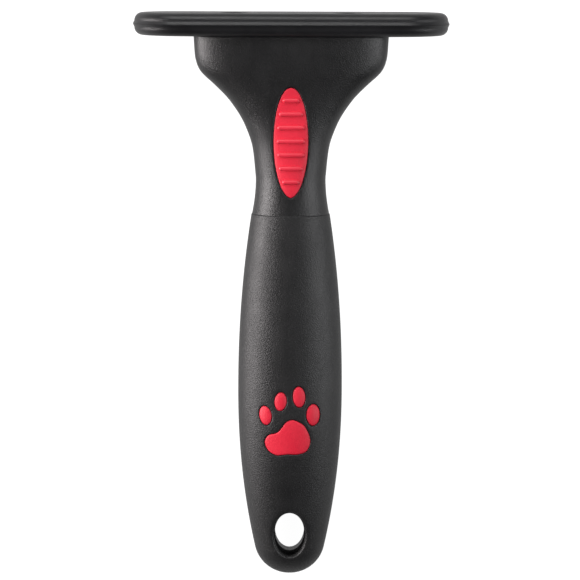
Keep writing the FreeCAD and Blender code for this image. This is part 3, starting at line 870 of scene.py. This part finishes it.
ribs = Tree("thumb_rib", Along=0.0, Reach=3.0, Top=9.0, Sag=0.5, Radius=RIB_W / 2)
line = ribs.node("GeometryNodeMeshLine", Count=RIB_STEPS + 1)
index = ribs.node("GeometryNodeInputIndex")
share = ribs.sum("SUBTRACT", ribs.sum("DIVIDE", index, RIB_STEPS / 2), 1.0)
length = ribs.sum("ADD", "Reach", "Radius")
x = ribs.sum("MULTIPLY", ribs.sum("SINE", ribs.sum("MULTIPLY", share, math.pi / 2)), length)
out = ribs.sum("DIVIDE", x, "Reach")
z = ribs.sum("SUBTRACT", "Top", ribs.sum("MULTIPLY", ribs.sum("MULTIPLY", out, out), "Sag"))
line = ribs.node("GeometryNodeSetPosition", Geometry=line, Position=ribs.spot(x, "Along", z))
spine = ribs.node("GeometryNodeMeshToCurve", Mesh=line)
beyond = ribs.sum("MAXIMUM", ribs.sum("SUBTRACT", ribs.sum("ABSOLUTE", x), "Reach"), 0.0)
past = ribs.sum("DIVIDE", beyond, "Radius")
left = ribs.sum("MAXIMUM", ribs.sum("SUBTRACT", 1.0, ribs.sum("MULTIPLY", past, past)), POLE_SQUARE)
round_end = ribs.sum("SQRT", left)
section = ribs.node("GeometryNodeCurvePrimitiveCircle", {"mode": "RADIUS"}, Resolution=RIB_SIDES, Radius=1.0)
bar = ribs.node("GeometryNodeCurveToMesh", Curve=spine, Profile_Curve=section,
                Scale=ribs.sum("MULTIPLY", round_end, "Radius"), Fill_Caps=True)
ribs.end(bar)

rib_pieces = []
for number in range(RIB_COUNT):
    y = THUMB_Y + RIB_SHIFT + RIB_PITCH * (number - (RIB_COUNT - 1) / 2)
    wide = smooth(THUMB_HALF, (y - THUMB_Y) / (THUMB_L / 2)) * THUMB_W / 2
    reach = wide - RIB_MARGIN - RIB_W / 2
    crown = skin_z(0, y, STEP + SINK)
    sag = crown - skin_z(reach, y, STEP + SINK)
    rib_pieces.append(ribs.bake(f"thumb_rib_{number + 1}", rib_red, Along=y, Reach=reach,
                                Top=crown + RIB_H - RIB_W / 2, Sag=sag))
print("ribs", len(rib_pieces))

# %% [markdown]
# Two pan-head screws hold the plate on the neck. The head is a flattened dome with a cross pressed into it.
# The dome is a curve again, and a boolean takes out one arm of the cross after the other. The dome's number
# of sides is chosen so that none of its edges lies on a corner of the cross, because a boolean leaves slivers
# where edges meet exactly. The pair is one mesh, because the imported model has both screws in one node.

# %% Screws
SCREW_HEAD_R, SCREW_HEAD_H, SCREW_SHANK_R, SCREW_BITE = 2.8, 1.8, 1.45, 9.0
CROSS_W, CROSS_REACH, CROSS_DEPTHS = 0.9, 3.2, (1.0, 0.97)
DOME_STEPS, DOME_SIDES, SHANK_SIDES = 14, 42, 32

screws = Tree("pan_head_screw", Spread=SCREW_XS[1] - SCREW_XS[0], Head_Radius=SCREW_HEAD_R)
seat = FACE_Y - COUNTERBORE_DEPTH
index = screws.node("GeometryNodeInputIndex")
turn = screws.sum("MULTIPLY", index, math.pi / 2 / DOME_STEPS)
sine, cosine = screws.sum("SINE", turn), screws.sum("COSINE", turn)
height = screws.sum("MULTIPLY", screws.sum("POWER", sine, 0.75), SCREW_HEAD_H)
line = screws.node("GeometryNodeMeshLine", Count=DOME_STEPS + 1)
line = screws.node("GeometryNodeSetPosition", Geometry=line, Position=screws.spot(0, height, 0))
spine = screws.node("GeometryNodeMeshToCurve", Mesh=line)
flat = screws.sum("POWER", screws.sum("MAXIMUM", cosine, 0.0001), 0.35)
radius = screws.sum("MULTIPLY", flat, "Head_Radius")
circle = {"mode": "RADIUS"}
section = screws.node("GeometryNodeCurvePrimitiveCircle", circle, Resolution=DOME_SIDES, Radius=1.0)
pan = screws.node("GeometryNodeCurveToMesh", Curve=spine, Profile_Curve=section, Scale=radius, Fill_Caps=True)
driven = pan
for across, depth, up in zip((CROSS_REACH, CROSS_W), CROSS_DEPTHS, (CROSS_W, CROSS_REACH)):
    block = screws.node("GeometryNodeMeshCube", Size=(across, 2 * depth, up))
    block = screws.node("GeometryNodeTransform", Geometry=block, Translation=(0, SCREW_HEAD_H, 0))
    driven = screws.node("GeometryNodeMeshBoolean", {"operation": "DIFFERENCE", "solver": "EXACT"},
                         Mesh_1=driven, Mesh_2=block)
shank_length = seat - (TOP_Y - SCREW_BITE)
shank = screws.node("GeometryNodeMeshCylinder", Vertices=SHANK_SIDES, Radius=SCREW_SHANK_R,
                    Depth=shank_length)
shank = screws.node("GeometryNodeTransform", Geometry=shank, Translation=(0, -shank_length / 2, 0),
                    Rotation=(math.pi / 2, 0, 0))
whole = screws.node("GeometryNodeJoinGeometry")
for shape in (driven, shank):
    screws.group.links.new(shape.outputs[0], whole.inputs[0])
half = screws.sum("MULTIPLY", "Spread", 0.5)
line = screws.node("GeometryNodeMeshLine", {"mode": "END_POINTS"}, Count=2,
                   Start_Location=screws.spot(screws.sum("MULTIPLY", half, -1.0), seat, SCREW_Z),
                   i3=screws.spot(half, seat, SCREW_Z))
screws.end(screws.node("GeometryNodeInstanceOnPoints", Points=line, Instance=whole))
screw_pair = screws.bake("pan_head_screws", screw_zinc)
print("screws", len(screw_pair.data.polygons), "faces")

# %% [markdown]
# ## Who rides on what
#
# Everything is fixed to the rake's main body except the pins, which each turn on their own. The only CAD node
# that stays is the nylon retainer inside the plate: its plain bar is already the right shape.

# %% Paint and fasten
for piece, node, slot_name, finish in (
        (soft_grip, "soft_grip", "grip_black", grip_black),
        (handle_core, "handle_core", "core_black", neck_black),
        (slotted["head_base"], "head_base", "head_black", head_black),
        (slotted["head_cover"], "head_cover", "head_black", head_black),
        (thumb_pad, "thumb_pad", "pad_red", pad_red),
        (screw_pair, "head_screws", "screw_steel", screw_zinc),
        *[(pad, name, "pad_red", pad_red) for name, pad in pads.items()],
        *[(rib, "thumb_pad", "pad_red", rib_red) for rib in rib_pieces]):
    paint(piece, finish)
    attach(piece, "rake")
    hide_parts(node)
for number, pin in pin_pieces.items():
    paint(pin, pin_steel)
    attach(pin, f"pin_{number:02d}_turning")
    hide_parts(f"pin_{number:02d}")
paint(frame["nodes"]["pin_retainer"], nylon)
print("fastened", len(pin_pieces), "pins to bodies of their own, and everything else to the rake")

# %% [markdown]
# ## Floor, light and camera
#
# The rake lies on a plain pale floor under a straight-down camera with a long lens, as a catalogue shows it.
# A tall soft box on the left draws the long highlight down the handle, a weaker one fills the right, and a
# small one beyond the head picks out the rim. A big box overhead is the usual choice, but it would grey the
# middle of the black plastic, so nothing hangs there. The floor glows fully only for the camera: it looks
# white and throws half as much light back at the dark sides.

# %% Floor
FLOOR_HALF, GLOW_TO_PIECES, GLOW_TO_CAMERA = 4, 0.5, 0.98
corners = [(x * FLOOR_HALF, y * FLOOR_HALF, 0) for x, y in ((-1, -1), (1, -1), (1, 1), (-1, 1))]
floor_mesh = bpy.data.meshes.new("floor")
floor_mesh.from_pydata(corners, [], [(0, 1, 2, 3)])
floor = bpy.data.objects.new("floor", floor_mesh)
bpy.context.scene.collection.objects.link(floor)
pale, nodes, links, shader = new_finish("pale_floor")
shader.inputs["Base Color"].default_value = (0.2, 0.2, 0.2, 1)
shader.inputs["Roughness"].default_value = 0.9
shader.inputs["Specular IOR Level"].default_value = 0.1
shader.inputs["Emission Color"].default_value = (1, 1, 1, 1)
seen = nodes.new("ShaderNodeLightPath").outputs["Is Camera Ray"]
links.new(ramp(nodes, links, seen, 0, 1, GLOW_TO_PIECES, GLOW_TO_CAMERA), shader.inputs["Emission Strength"])
paint(floor, pale)
print("floor", 2 * FLOOR_HALF, "m wide")


# %% Lights
AIM = Vector((0, 0, 0.02))
WORLD_STRENGTH = 0.05


def softbox(name, place, width, height, power, color):
    """A soft rectangular light that looks at the middle of the rake."""
    light = bpy.data.lights.new(name, "AREA")
    light.shape = "RECTANGLE"
    light.size, light.size_y = width, height
    light.energy, light.color = power, color
    lamp = bpy.data.objects.new(name, light)
    lamp.location = place
    lamp.rotation_euler = (AIM - Vector(place)).to_track_quat("-Z", "Y").to_euler()
    bpy.context.scene.collection.objects.link(lamp)
    print(name, power, "W")


softbox("left_box", (-0.85, 0.05, 0.22), width=0.38, height=0.9, power=17.5, color=(1.0, 0.95, 0.95))
softbox("right_box", (0.8, 0.0, 0.55), width=0.5, height=0.8, power=6, color=(0.98, 0.985, 1.0))
softbox("head_box", (-0.1, 0.8, 0.65), width=0.5, height=0.3, power=4.5, color=(1.0, 1.0, 1.0))

world = bpy.data.worlds.new("studio")
world.use_nodes = True
background = world.node_tree.nodes["Background"]
background.inputs["Color"].default_value = (1, 1, 1, 1)
background.inputs["Strength"].default_value = WORLD_STRENGTH
bpy.context.scene.world = world
bpy.context.scene.view_settings.view_transform = "Standard"

# %% Camera
CAMERA_HEIGHT, FIELD, SENSOR_MM, ROLL = 1.06, 0.1775, 36, 0.2
camera = bpy.data.cameras.new("camera")
camera.sensor_width = SENSOR_MM
camera.lens = SENSOR_MM * CAMERA_HEIGHT / FIELD
eye = bpy.data.objects.new("camera", camera)
eye.location = (-0.0001, 0.0010, CAMERA_HEIGHT)
eye.rotation_euler = (0, 0, math.radians(ROLL))
bpy.context.scene.collection.objects.link(eye)
bpy.context.scene.camera = eye
print("lens", round(camera.lens, 1), "mm at", CAMERA_HEIGHT, "m")
